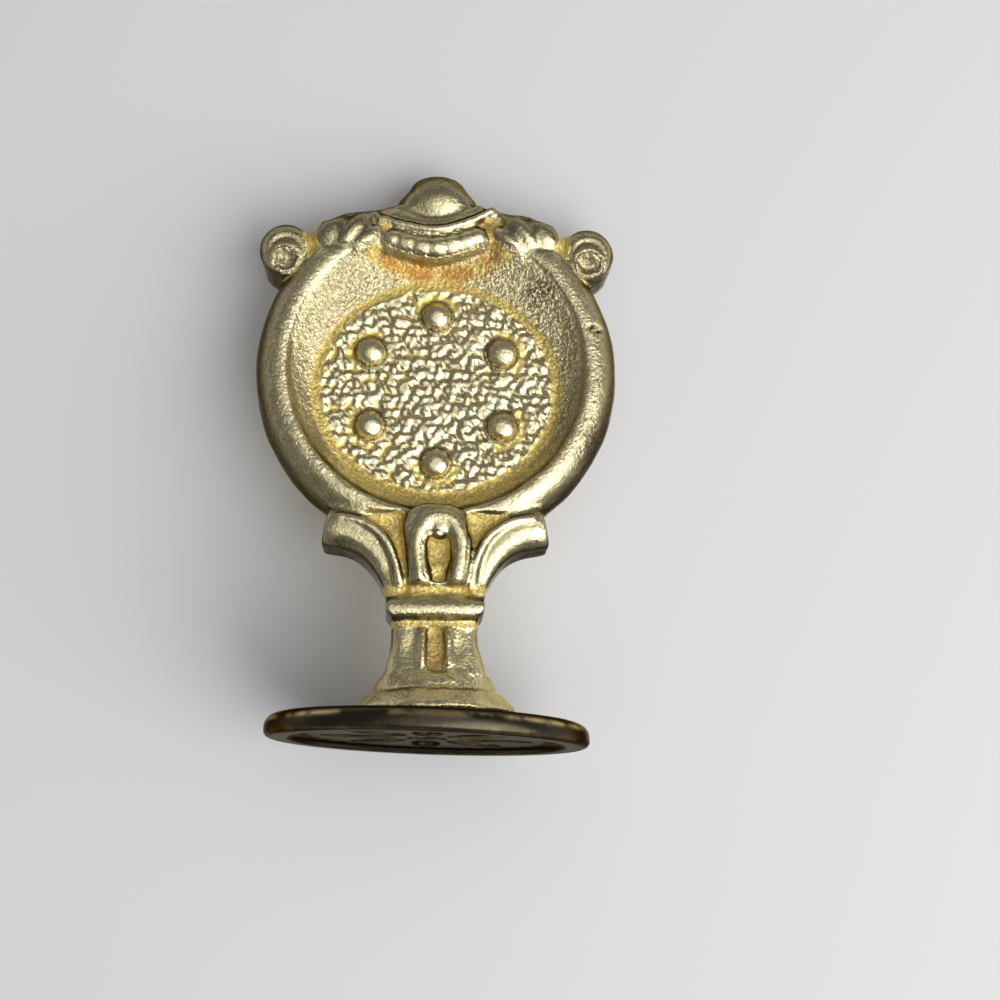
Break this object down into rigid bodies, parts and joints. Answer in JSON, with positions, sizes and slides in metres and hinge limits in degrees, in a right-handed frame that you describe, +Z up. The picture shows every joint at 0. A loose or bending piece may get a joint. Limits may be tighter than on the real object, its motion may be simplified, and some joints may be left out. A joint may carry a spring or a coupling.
{
  "type": "wax seal stamp",
  "caption": "Ornate cast brass hand seal: a round medallion handle with a scrolled crest and leaf calyx, soldered to an engraved disc that is pressed into hot wax.",
  "frame": {"origin": "centre of the seal disc's lower face, on the plane that the seal stands on", "axes": "+Z up the handle from the seal disc to the crest, X across the medallion, -Y out of the medallion's front"},
  "size_m": [0.022, 0.019, 0.035],
  "materials": {
    "cast_brass": "satin",
    "dark_bronze": "satin",
    "hard_solder": "satin"
  },
  "bodies": {
    "root": {"handle_casting": "cast_brass", "seal_disc": "dark_bronze", "foot_solder": "hard_solder"}
  },
  "joints": []
}
